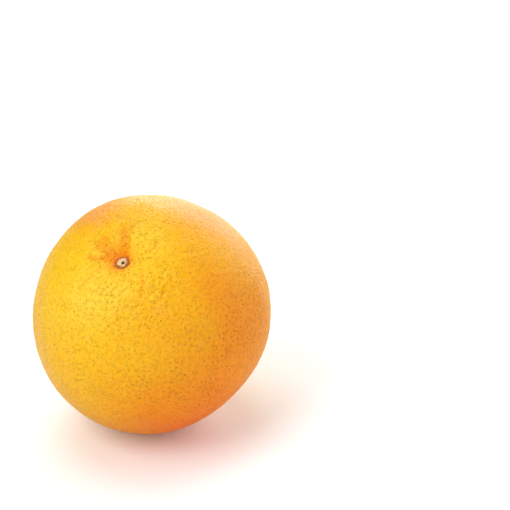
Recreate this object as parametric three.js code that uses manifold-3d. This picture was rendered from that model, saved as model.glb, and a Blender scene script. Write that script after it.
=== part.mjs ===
// A whole grapefruit as picked, at rest on a small flat spot with its stem end tilted up.
// The fruit is one grown solid. The dried woody button of the cut stem sits in a shallow seat in the peel.
// Millimetres and degrees, +Z up. The flat spot lies on z = 0 and the fruit's box is centred over the origin.
import * as THREE from "three";
import { mergeVertices } from "three/addons/utils/BufferGeometryUtils.js";
import Module from "manifold-3d";

// Overall size and the way the fruit lies.
const EQUATOR_DIAMETER = 116; // square to the stem axis, before the swells
const POLE_DISTANCE = 110; // along the stem axis, before the hollows
const RESTING_SPOT_RADIUS = 11.5;
const STEM_LEAN = 36.5; // how far the stem axis leans from straight up
const STEM_HEADING = -22.5; // which way it leans, turned about +Z from the front

// Broad swells (and, where the height is negative, flats) that make the fruit grow a little out of round.
// Polar is the angle from the stem axis and bearing the angle round it.
const SWELLS = [
  { polar: 56, bearing: 118, spread: 34, height: 1.7 },
  { polar: 83, bearing: 45, spread: 28, height: 0.5 },
  { polar: 74, bearing: -160, spread: 38, height: -1.1 },
  { polar: 114, bearing: -36, spread: 32, height: -1.9 },
  { polar: 120, bearing: -100, spread: 30, height: -0.4 },
];

// The shallow hollows at the two ends.
const STEM_HOLLOW = { radius: 9, depth: 1.6 };
const BLOSSOM_HOLLOW = { radius: 8, depth: 1.1 };

// Creases that run out from the stem over the shoulder. Near and far are distances along the skin
// from the stem axis, and swing is how far the bearing turns on the way out.
const CREASES = [
  { near: 5, far: 24, bearing: 96, swing: 13, halfWidth: 2.3, depth: 1.5 },
  { near: 13, far: 28, bearing: 98, swing: -3, halfWidth: 1.7, depth: 0.7 },
  { near: 8, far: 23, bearing: 154, swing: -11, halfWidth: 2.8, depth: 0.9 },
  { near: 5, far: 20, bearing: 165, swing: 6, halfWidth: 1.5, depth: 0.8 },
  { near: 14, far: 21, bearing: 44, swing: 5, halfWidth: 2.2, depth: 0.5 },
  { near: 15, far: 23, bearing: -30, swing: -24, halfWidth: 1.8, depth: 0.5 },
];

// The stem button and its seat.
const BUTTON_DIAMETER = 6;
const BUTTON_THICKNESS = 1.8;
const BUTTON_PROUD = 0.5; // how far its rim stands above the peel at the stem axis
const BUTTON_OVAL = 0.07; // share of its radius
const BUTTON_LOBE_HEIGHT = 0.12;
const BUTTON_LOBES = 5;
const BUTTON_LONG_BEARING = 20;
const BUTTON_EDGE = 0.35; // bevel at its rim
const PITH_DIAMETER = 1.7;
const PITH_DEPTH = 0.6;
const PITH_OFFSET = 0.5;
const SEAT_CLEARANCE = 0.3;

// How finely the surfaces are divided.
const FRUIT_RINGS = 40;
const FRUIT_SEGMENTS = 76;
const RING_CROWDING = 1.4; // above 1 the rings crowd towards the stem end
const BUTTON_SEGMENTS = 30;

const wasm = await Module();
wasm.setup();

const radians = THREE.MathUtils.degToRad;
const fullTurn = 2 * Math.PI;

// The smallest signed angle from one bearing to another, in radians.
function bearingBetween(from, to) {
  return THREE.MathUtils.euclideanModulo(to - from + Math.PI, fullTurn) - Math.PI;
}

// A bell-shaped falloff that is 1 at no distance and 1/e at one spread.
function bell(distance, spread) {
  return Math.exp(-((distance / spread) ** 2));
}

// The unit vector at a polar angle from the stem axis, +Z, and a bearing round it from +X.
function pointing(polar, bearing) {
  const across = Math.sin(radians(polar));
  return new THREE.Vector3(
    across * Math.cos(radians(bearing)),
    across * Math.sin(radians(bearing)),
    Math.cos(radians(polar)),
  );
}

// How deep one crease cuts the skin at an arc from the stem axis and a bearing.
function creaseDepth(crease, arc, bearing) {
  const along = THREE.MathUtils.clamp((arc - crease.near) / (crease.far - crease.near), 0, 1);
  const line = radians(crease.bearing + crease.swing * along);
  const sideways = arc * bearingBetween(line, bearing);
  const beyond = Math.max(crease.near - arc, arc - crease.far, 0);
  return crease.depth * (1 - along / 2) * bell(Math.hypot(sideways, beyond), crease.halfWidth);
}

// The distance from the fruit's centre to its skin in a direction, with the stem axis along +Z.
function skinRadius(direction) {
  const across = Math.hypot(direction.x, direction.y);
  const spheroid = 1 / Math.hypot(across / (EQUATOR_DIAMETER / 2), direction.z / (POLE_DISTANCE / 2));
  const bearing = Math.atan2(direction.y, direction.x);
  const stemArc = Math.acos(THREE.MathUtils.clamp(direction.z, -1, 1)) * (EQUATOR_DIAMETER / 2);
  const blossomArc = (Math.PI * EQUATOR_DIAMETER) / 2 - stemArc;
  let radius = spheroid;
  for (const swell of SWELLS) {
    const away = direction.angleTo(pointing(swell.polar, swell.bearing));
    radius += swell.height * bell(away, radians(swell.spread));
  }
  radius -= STEM_HOLLOW.depth * bell(stemArc, STEM_HOLLOW.radius);
  radius -= BLOSSOM_HOLLOW.depth * bell(blossomArc, BLOSSOM_HOLLOW.radius);
  for (const crease of CREASES) radius -= creaseDepth(crease, stemArc, bearing);
  return radius;
}

// A lathe about +Z from a profile of [radius, height] points that runs from its low end to its high end.
function lathe(profile, segments) {
  const points = profile.map(([radius, height]) => new THREE.Vector2(radius, height));
  return new THREE.LatheGeometry(points, segments).rotateX(Math.PI / 2);
}

// Moves every vertex of a geometry by a function that changes the point it is given.
function reshape(geometry, move) {
  const position = geometry.getAttribute("position");
  const point = new THREE.Vector3();
  for (let i = 0; i < position.count; i += 1) {
    move(point.fromBufferAttribute(position, i));
    position.setXYZ(i, point.x, point.y, point.z);
  }
  return geometry;
}

// A closed geometry as a solid that can be joined and cut.
function toSolid(geometry) {
  const bare = new THREE.BufferGeometry();
  bare.setIndex(geometry.getIndex());
  bare.setAttribute("position", geometry.getAttribute("position"));
  const merged = mergeVertices(bare, 1e-4);
  const vertProperties = new Float32Array(merged.getAttribute("position").array);
  const triVerts = new Uint32Array(merged.getIndex().array);
  return new wasm.Manifold(new wasm.Mesh({ numProp: 3, vertProperties, triVerts }));
}

// A solid back as a geometry that can be drawn.
function toGeometry(solid) {
  const { vertProperties, triVerts } = solid.getMesh();
  const geometry = new THREE.BufferGeometry();
  geometry.setAttribute("position", new THREE.BufferAttribute(new Float32Array(vertProperties), 3));
  geometry.setIndex(new THREE.BufferAttribute(new Uint32Array(triVerts), 1));
  geometry.computeVertexNormals();
  return geometry;
}

// The grown fruit before its flat and its seat: a ball of rings with the skin's radius in each direction.
function wholeFruit() {
  const meridian = [];
  for (let ring = FRUIT_RINGS; ring >= 0; ring -= 1) {
    const polar = Math.PI * (ring / FRUIT_RINGS) ** RING_CROWDING;
    const onAxis = ring === 0 || ring === FRUIT_RINGS;
    meridian.push([onAxis ? 0 : Math.sin(polar), Math.cos(polar)]);
  }
  return reshape(lathe(meridian, FRUIT_SEGMENTS), (point) => {
    const direction = point.clone().normalize();
    point.copy(direction).multiplyScalar(skinRadius(direction));
  });
}

// Gives a round shape about the stem axis the button's oval, lobed outline, grown outwards by a margin.
function followOutline(geometry, margin) {
  return reshape(geometry, (point) => {
    const share = Math.hypot(point.x, point.y) / (BUTTON_DIAMETER / 2);
    const bearing = Math.atan2(point.y, point.x);
    const oval = BUTTON_OVAL * Math.cos(2 * (bearing - radians(BUTTON_LONG_BEARING)));
    const lobe = BUTTON_LOBE_HEIGHT * Math.cos(BUTTON_LOBES * bearing);
    const reach = (BUTTON_DIAMETER / 2) * (1 + oval) + lobe + margin;
    point.set(share * reach * Math.cos(bearing), share * reach * Math.sin(bearing), point.z);
  });
}

// Where the peel meets the stem axis, and the button's top and underside.
const peelHeight = skinRadius(new THREE.Vector3(0, 0, 1));
const buttonTop = peelHeight + BUTTON_PROUD;
const buttonUnderside = buttonTop - BUTTON_THICKNESS;

// The button: a bevelled disc, dished inside its rim, with the pit of the pith a little off its middle.
function buttonGeometry() {
  const outer = BUTTON_DIAMETER / 2;
  const pith = PITH_DIAMETER / 2;
  const dish = buttonTop - BUTTON_EDGE / 2;
  const profile = [
    [0, buttonUnderside],
    [outer - BUTTON_EDGE, buttonUnderside],
    [outer, buttonUnderside + BUTTON_EDGE],
    [outer, buttonTop - BUTTON_EDGE],
    [outer - BUTTON_EDGE, buttonTop],
    [outer - 2 * BUTTON_EDGE, buttonTop],
    [pith + BUTTON_EDGE, dish],
    [pith, dish - PITH_DEPTH / 2],
    [pith / 2, dish - PITH_DEPTH],
    [0, dish - PITH_DEPTH],
  ];
  const disc = reshape(lathe(profile, BUTTON_SEGMENTS), (point) => {
    const inward = Math.max(0, 1 - Math.hypot(point.x, point.y) / outer);
    const onTop = point.z > buttonTop - BUTTON_THICKNESS / 2 ? 1 : 0;
    point.y += PITH_OFFSET * inward * onTop;
  });
  return followOutline(disc, 0);
}

// The seat's cutter: the button's outline with its clearance, from under the button up and out of the fruit.
function seatCutter() {
  const outer = BUTTON_DIAMETER / 2;
  const floor = buttonUnderside - SEAT_CLEARANCE;
  const roof = buttonTop + BUTTON_THICKNESS;
  const profile = [
    [0, floor],
    [outer, floor],
    [outer, roof],
    [0, roof],
  ];
  return followOutline(lathe(profile, BUTTON_SEGMENTS), SEAT_CLEARANCE);
}

// The turn from the fruit's own axes to the way it lies.
const pose = new THREE.Quaternion().setFromEuler(
  new THREE.Euler(radians(STEM_LEAN), 0, radians(STEM_HEADING), "ZXY"),
);

// The height of the flat spot below the fruit's centre, from its radius and the skin's curve there.
function flatHeight(fruit) {
  const lying = new THREE.Box3().setFromBufferAttribute(
    fruit.clone().applyQuaternion(pose).getAttribute("position"),
  );
  const curve = EQUATOR_DIAMETER / 2;
  return lying.min.z + curve - Math.sqrt(curve ** 2 - RESTING_SPOT_RADIUS ** 2);
}

// What lies under the flat spot, in the fruit's own axes.
function groundCutter(height) {
  const side = 2 * EQUATOR_DIAMETER;
  const block = new THREE.BoxGeometry(side, side, side);
  block.translate(0, 0, height - side / 2);
  return block.applyQuaternion(pose.clone().invert());
}

const grown = wholeFruit();
const flat = flatHeight(grown);
const fruitSolid = toSolid(grown).subtract(toSolid(groundCutter(flat))).subtract(toSolid(seatCutter()));

const peel = new THREE.MeshStandardMaterial({ color: 0xf9b016, roughness: 0.42, metalness: 0 });
const driedStem = new THREE.MeshStandardMaterial({ color: 0xd9b285, roughness: 0.85, metalness: 0 });

const fruit = new THREE.Mesh(toGeometry(fruitSolid), peel);
fruit.name = "fruit";

const stemButton = new THREE.Mesh(buttonGeometry(), driedStem);
stemButton.name = "stem_button";

// The fruit and its button turn together from the stem axis to the way the fruit lies.
const lying = new THREE.Group();
lying.quaternion.copy(pose);
lying.add(fruit, stemButton);

const box = new THREE.Box3().setFromObject(lying, true);
lying.position.set(-(box.min.x + box.max.x) / 2, -(box.min.y + box.max.y) / 2, -flat);

const grapefruit = new THREE.Group();
grapefruit.name = "grapefruit";
grapefruit.add(lying);

export default grapefruit;
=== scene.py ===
"""A whole grapefruit at rest on a pale studio floor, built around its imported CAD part.

The fruit is one grown piece with a thick, waxy, pored peel. It lies on a small flat spot, with its stem end
tilted up towards the front. The dried woody button of its stem sits in a shallow seat in the peel.

The fruit's own shape is worked out in millimetres, in the fruit's own axes. The stem axis is +Z, an arc is a
distance along the skin from that axis, and a bearing is an angle round it, in degrees. The Lie class turns
that shape into metres in the frame of the CAD part.
"""

import logging
import math
from dataclasses import asdict, dataclass, field, fields
from enum import Enum

import bpy
import numpy as np
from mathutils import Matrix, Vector
from mathutils.kdtree import KDTree


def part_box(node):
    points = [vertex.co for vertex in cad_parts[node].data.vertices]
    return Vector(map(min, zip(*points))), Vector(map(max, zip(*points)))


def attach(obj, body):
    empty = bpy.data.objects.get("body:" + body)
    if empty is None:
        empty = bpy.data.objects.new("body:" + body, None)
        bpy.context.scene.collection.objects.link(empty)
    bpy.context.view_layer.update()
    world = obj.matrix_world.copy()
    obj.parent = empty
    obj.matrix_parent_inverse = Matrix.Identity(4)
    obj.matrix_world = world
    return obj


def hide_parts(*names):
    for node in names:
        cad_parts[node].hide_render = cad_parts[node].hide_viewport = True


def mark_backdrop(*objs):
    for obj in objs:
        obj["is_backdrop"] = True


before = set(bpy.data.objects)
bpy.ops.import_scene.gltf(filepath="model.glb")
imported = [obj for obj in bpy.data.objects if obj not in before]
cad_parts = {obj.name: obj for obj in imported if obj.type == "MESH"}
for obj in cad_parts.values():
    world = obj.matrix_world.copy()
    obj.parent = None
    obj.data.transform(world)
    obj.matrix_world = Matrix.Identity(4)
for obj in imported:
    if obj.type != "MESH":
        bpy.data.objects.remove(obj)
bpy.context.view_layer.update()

LOG = logging.getLogger("grapefruit")
BODY = "root"
MM = 0.001
TINY = 1e-9
Colour = tuple[float, float, float]
Pair = tuple[float, float]
Piece = bpy.types.Object
Node = bpy.types.Node
Socket = bpy.types.NodeSocket


# ---------------------------------------------------------------- measures and helpers


class End(Enum):
    """The two ends of the fruit, by the way each faces along the stem axis."""

    STEM = 1
    BLOSSOM = -1


class Coat(Enum):
    """The two finishes of the object, by the record's material slots."""

    PEEL = "peel"
    DRIED_STEM = "dried_stem"


def bell(distance: np.ndarray, spread: float) -> np.ndarray:
    """Gives a falloff that is 1 at no distance and 1/e at one spread."""
    return np.exp(-((distance / spread) ** 2))


def ease(low: float, high: float, value: np.ndarray) -> np.ndarray:
    """Gives 0 below low, 1 above high and a smooth rise between them."""
    share = np.clip((value - low) / (high - low), 0.0, 1.0)
    return share * share * (3.0 - 2.0 * share)


def pointing(polar: float, bearing: float) -> np.ndarray:
    """Finds the unit vector at a polar angle from the stem axis and a bearing round it.

    Args:
        polar: Angle from +Z, in degrees.
        bearing: Angle round +Z from +X, in degrees.

    Returns:
        The unit vector, as an array of three numbers.
    """
    across = math.sin(math.radians(polar))
    turn = math.radians(bearing)
    return np.array([across * math.cos(turn), across * math.sin(turn), math.cos(math.radians(polar))])


@dataclass(frozen=True)
class Waviness:
    """A smooth random field made of plane waves, with crests and troughs about 0.

    Attributes:
        wavelength: Typical distance between two crests, in millimetres.
        seed: Seed of its random directions.
        height: How far a typical crest stands out.
        waves: How many plane waves are added.
        stretch: How much longer the waves are along X, Y and Z.
        rates: How many crests the longest and the shortest waves have for each one of a typical wave.
    """

    wavelength: float
    seed: int
    height: float = 1.0
    waves: int = 42
    stretch: tuple[float, float, float] = (1.0, 1.0, 1.0)
    rates: Pair = (0.7, 1.4)

    def at(self, points: np.ndarray) -> np.ndarray:
        """Works out the field.

        Args:
            points: Places in millimetres, one row each.

        Returns:
            One value for each place.
        """
        draw = np.random.default_rng(self.seed)
        heading = draw.normal(size=(self.waves, 3))
        heading /= np.linalg.norm(heading, axis=1)[:, None]
        rate = draw.uniform(*self.rates, self.waves) * 2.0 * math.pi / self.wavelength
        phase = draw.uniform(0.0, 2.0 * math.pi, self.waves)
        crests = heading * rate[:, None] / np.array(self.stretch)
        return self.height * np.cos(points @ crests.T + phase).sum(axis=1) / math.sqrt(self.waves / 2.0)


def new_piece(name: str, points: np.ndarray, faces: list[tuple[int, ...]]) -> Piece:
    """Makes a smooth-shaded mesh object in the scene.

    Args:
        name: Name of the object and its mesh.
        points: Places in metres, one row each.
        faces: Corner indices of each face, wound to face outwards.

    Returns:
        The new object, linked into the scene.
    """
    mesh = bpy.data.meshes.new(name)
    mesh.from_pydata(points.tolist(), [], faces)
    mesh.polygons.foreach_set("use_smooth", np.ones(len(mesh.polygons), dtype=bool))
    mesh.update()
    piece = bpy.data.objects.new(name, mesh)
    bpy.context.scene.collection.objects.link(piece)
    return piece


def paint(piece: Piece, name: str, values: np.ndarray) -> None:
    """Stores one number for each vertex of a piece, under a name that its material reads."""
    layer = piece.data.attributes.new(name, "FLOAT", "POINT")
    layer.data.foreach_set("value", values.astype(np.float32))


# ---------------------------------------------------------------- the shape of the fruit


@dataclass(frozen=True)
class Swell:
    """A broad rise of the skin, or a flat where its height in mm is negative. Angles in degrees."""

    polar: float
    bearing: float
    spread: float
    height: float


@dataclass(frozen=True)
class Hollow:
    """The shallow hollow at one end of the fruit, in millimetres."""

    end: End
    radius: float
    depth: float


@dataclass(frozen=True)
class Crease:
    """A crease that runs along the skin, or a ridge where its depth is negative.

    Attributes:
        route: The places it runs through, each as its arc from the stem axis and its bearing.
        half_width: Half its width, in millimetres.
        depth: How deep it is at its first place, in millimetres.
        fade: How much of that depth is gone at its last place.
    """

    route: tuple[tuple[float, float], ...]
    half_width: float
    depth: float
    fade: float = 0.5

    def cut(self, points: np.ndarray, reach: float) -> np.ndarray:
        """Works out how deep the crease cuts.

        Args:
            points: Places on a plain ball, one row each, in millimetres.
            reach: The ball's radius.

        Returns:
            The depth at each place, in millimetres.
        """
        knots = [pointing(math.degrees(arc / reach), bearing) * reach for arc, bearing in self.route]
        legs = len(knots) - 1
        nearest = np.full(len(points), np.inf)
        travelled = np.zeros(len(points))
        for leg in range(legs):
            run = knots[leg + 1] - knots[leg]
            along = np.clip((points - knots[leg]) @ run / (run @ run), 0.0, 1.0)
            away = np.linalg.norm(points - knots[leg] - along[:, None] * run, axis=1)
            closer = away < nearest
            travelled = np.where(closer, (leg + along) / legs, travelled)
            nearest = np.where(closer, away, nearest)
        return self.depth * (1.0 - self.fade * travelled) * bell(nearest, self.half_width)


SWELLS = (
    Swell(polar=56, bearing=118, spread=34, height=1.7),
    Swell(polar=83, bearing=45, spread=28, height=0.5),
    Swell(polar=74, bearing=-160, spread=38, height=-1.1),
    Swell(polar=114, bearing=-36, spread=32, height=-1.9),
    Swell(polar=120, bearing=-100, spread=30, height=-0.4),
)

HOLLOWS = (
    Hollow(end=End.STEM, radius=9.0, depth=1.6),
    Hollow(end=End.BLOSSOM, radius=8.0, depth=1.1),
)

CREASES = (
    # The wide trough that runs up from the button, steep on its right, and the bright ridge beside it.
    Crease(route=((3.5, 92), (10, 96), (16, 103), (20, 108)), half_width=2.3, depth=1.25),
    Crease(route=((5, 86), (11, 91), (15, 95)), half_width=1.0, depth=0.45),
    Crease(route=((6, 68), (10, 77), (15, 87)), half_width=1.3, depth=-0.45),
    Crease(route=((19.5, 96), (25, 92)), half_width=1.2, depth=0.65),
    Crease(route=((20.5, 104), (22, 104)), half_width=1.0, depth=0.45),
    # The soft hollow up on the left, with its prongs.
    Crease(route=((8, 147), (14, 149), (18, 147)), half_width=2.4, depth=0.85, fade=0.3),
    Crease(route=((16, 134), (20, 137)), half_width=1.1, depth=0.45),
    Crease(route=((13, 158), (18, 155)), half_width=1.1, depth=0.40),
    Crease(route=((12, 126), (13, 126)), half_width=1.1, depth=0.35),
    Crease(route=((8, 122), (15, 121)), half_width=1.6, depth=-0.25),
    # The narrow crease that runs out to the left, and the ridge above it.
    Crease(route=((3.5, 150), (7.5, 155), (9.5, 172), (12.5, 178), (17.5, 178)), half_width=1.3, depth=1.0),
    Crease(route=((18, 177), (19, 172)), half_width=1.0, depth=0.45),
    Crease(route=((10.5, 165), (15, 167), (18, 169)), half_width=1.1, depth=-0.38),
    # Shorter ones round the rest of the shoulder.
    Crease(route=((15, 38), (19.5, 47)), half_width=1.1, depth=0.30, fade=0.0),
    Crease(route=((6, 18), (16, 15)), half_width=0.6, depth=0.16),
    Crease(route=((13, -25), (18, -37), (21, -50)), half_width=0.9, depth=0.42, fade=0.2),
    Crease(route=((13, -17), (18, -29), (22, -41)), half_width=0.8, depth=-0.22, fade=0.2),
    Crease(route=((25.5, -4), (25, -20), (27, -30)), half_width=0.8, depth=0.36, fade=0.0),
    Crease(route=((21, -18), (22.5, -30), (24, -38)), half_width=0.8, depth=-0.14, fade=0.0),
    Crease(route=((29, -14), (29.5, -24)), half_width=0.8, depth=0.20, fade=0.0),
    Crease(route=((30, 23), (37, 23)), half_width=0.6, depth=-0.18, fade=0.0),
    Crease(route=((30, 27), (36, 28)), half_width=0.7, depth=0.18, fade=0.0),
    Crease(route=((16, -150), (25, -140)), half_width=1.4, depth=0.25),
)


@dataclass(frozen=True)
class Skin:
    """The fruit's outer surface before its pores, in millimetres about its centre."""

    equator: float = 116.0
    poles: float = 110.0
    swells: tuple[Swell, ...] = SWELLS
    hollows: tuple[Hollow, ...] = HOLLOWS
    creases: tuple[Crease, ...] = CREASES

    def stem_arc(self, rays: np.ndarray) -> np.ndarray:
        """Gives the arc from the stem axis to the skin along each ray."""
        return np.arccos(np.clip(rays[:, 2], -1.0, 1.0)) * self.equator / 2.0

    def crease_cut(self, rays: np.ndarray) -> np.ndarray:
        """Adds up how deep all the creases cut along each ray, ridges counting as less than nothing."""
        reach = self.equator / 2.0
        return sum(crease.cut(rays * reach, reach) for crease in self.creases)

    def radius(self, rays: np.ndarray) -> np.ndarray:
        """Works out how far the skin is from the fruit's centre.

        Args:
            rays: Unit vectors in the fruit's own axes, one row each.

        Returns:
            The distance along each ray, in millimetres.
        """
        across = np.hypot(rays[:, 0], rays[:, 1])
        reach = 1.0 / np.hypot(across / (self.equator / 2.0), rays[:, 2] / (self.poles / 2.0))
        for swell in self.swells:
            away = np.arccos(np.clip(rays @ pointing(swell.polar, swell.bearing), -1.0, 1.0))
            reach += swell.height * bell(away, math.radians(swell.spread))
        for hollow in self.hollows:
            arcs = np.arccos(np.clip(hollow.end.value * rays[:, 2], -1.0, 1.0)) * self.equator / 2.0
            reach -= hollow.depth * bell(arcs, hollow.radius)
        return reach - self.crease_cut(rays)

    def peel_height(self) -> float:
        """Gives the height of the peel on the stem axis, above the fruit's centre."""
        return float(self.radius(np.array([[0.0, 0.0, 1.0]]))[0])


@dataclass
class Lie:
    """The way the fruit lies, and the turn from its own axes in millimetres to the part's frame in metres.

    Attributes:
        lean: How far the stem axis leans from +Z, in degrees.
        heading: How far the fruit is then turned about +Z, in degrees.
        scale: How much larger the fruit is made to fit its CAD node.
        centre: Where the middle of the fruit is, in metres.
    """

    lean: float = 36.5
    heading: float = -22.5
    scale: float = 1.0
    centre: np.ndarray = field(default_factory=lambda: np.zeros(3))

    def turn(self) -> np.ndarray:
        """Gives the rotation that leans the stem axis from +Z and then turns the fruit about +Z."""
        lean, heading = math.radians(self.lean), math.radians(self.heading)
        tip = np.array([[1, 0, 0], [0, math.cos(lean), -math.sin(lean)], [0, math.sin(lean), math.cos(lean)]])
        spin = np.array(
            [[math.cos(heading), -math.sin(heading), 0], [math.sin(heading), math.cos(heading), 0], [0, 0, 1]]
        )
        return spin @ tip

    def settle(self, skin_points: np.ndarray, node: str) -> None:
        """Finds the centre and scale that fit the skin to the sides and the top of its CAD node's box.

        Args:
            skin_points: The skin's places in the fruit's own axes, in millimetres.
            node: Name of the CAD node.
        """
        turned = skin_points @ self.turn().T * MM
        own_low, own_high = turned.min(axis=0), turned.max(axis=0)
        low, high = (np.array(corner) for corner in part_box(node))
        self.scale = float(min(((high - low) / (own_high - own_low))[:2]))
        self.centre = (low + high) / 2.0 - self.scale * (own_low + own_high) / 2.0
        self.centre[2] = high[2] - self.scale * own_high[2]

    def place(self, points: np.ndarray) -> np.ndarray:
        """Turns places in the fruit's own axes, in millimetres, into metres in the part's frame."""
        return points @ self.turn().T * (MM * self.scale) + self.centre


# ---------------------------------------------------------------- the peel


@dataclass(frozen=True)
class Patch:
    """A soft-edged patch of the skin, with how strong it is at its middle. Angles in degrees."""

    polar: float
    bearing: float
    spread: float
    strength: float

    def over(self, rays: np.ndarray) -> np.ndarray:
        """Gives the patch's strength along each ray."""
        away = np.arccos(np.clip(rays @ pointing(self.polar, self.bearing), -1.0, 1.0))
        return self.strength * bell(away, math.radians(self.spread))


def patches_over(rays: np.ndarray, patches: tuple[Patch, ...]) -> np.ndarray:
    """Adds up the strength of several patches along each ray."""
    return sum(patch.over(rays) for patch in patches)


@dataclass(frozen=True)
class Pores:
    """The oil glands that pit the peel, in millimetres.

    Attributes:
        gap: Least distance between two pores.
        reach: How far from its middle a pit falls away.
        depth: Depth of a full-strength pit.
        seed: Seed of the places and the strengths.
        gaps, strengths, reaches: The least and the most of each, the gap and the reach as shares.
    """

    gap: float = 1.9
    reach: float = 0.54
    depth: float = 0.13
    seed: int = 7
    gaps: Pair = (0.88, 1.3)
    strengths: Pair = (0.45, 1.15)
    reaches: Pair = (0.85, 1.25)

    def pits(self, points: np.ndarray) -> np.ndarray:
        """Scatters pores over the skin's vertices and works out how far each vertex lies into one.

        Args:
            points: The skin's places, in millimetres, one row each.

        Returns:
            For each vertex, 1 or so at the middle of a strong pore and 0 well away from any.
        """
        draw = np.random.default_rng(self.seed)
        tree = KDTree(len(points))
        for index, point in enumerate(points.tolist()):
            tree.insert(point, index)
        tree.balance()
        taken = np.zeros(len(points), dtype=bool)
        pit = np.zeros(len(points))
        for index in draw.permutation(len(points)).tolist():
            if taken[index]:
                continue
            gap = self.gap * draw.uniform(*self.gaps)
            strength = draw.uniform(*self.strengths)
            reach = self.reach * draw.uniform(*self.reaches)
            for _, other, distance in tree.find_range(points[index], gap):
                taken[other] = True
                pit[other] = max(pit[other], strength * math.exp(-((distance / reach) ** 2)))
        return pit


@dataclass(frozen=True)
class Fan:
    """Folds in the skin that fan out from the stem.

    Attributes:
        arc: How far from the stem axis they are strongest, in millimetres.
        reach: How far they go in and out from there, in millimetres.
        gap: The distance between two of them, in millimetres.
        height: How high they stand, in millimetres.
        slimness: How many times longer than wide they are.
        bearing: The side of the stem that they are on, in degrees.
        grip: How closely they keep to that side, 0 for all round.
        seed: Seed of their pattern.
    """

    arc: float
    reach: float
    gap: float
    height: float
    slimness: float
    bearing: float
    grip: float
    seed: int


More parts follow.
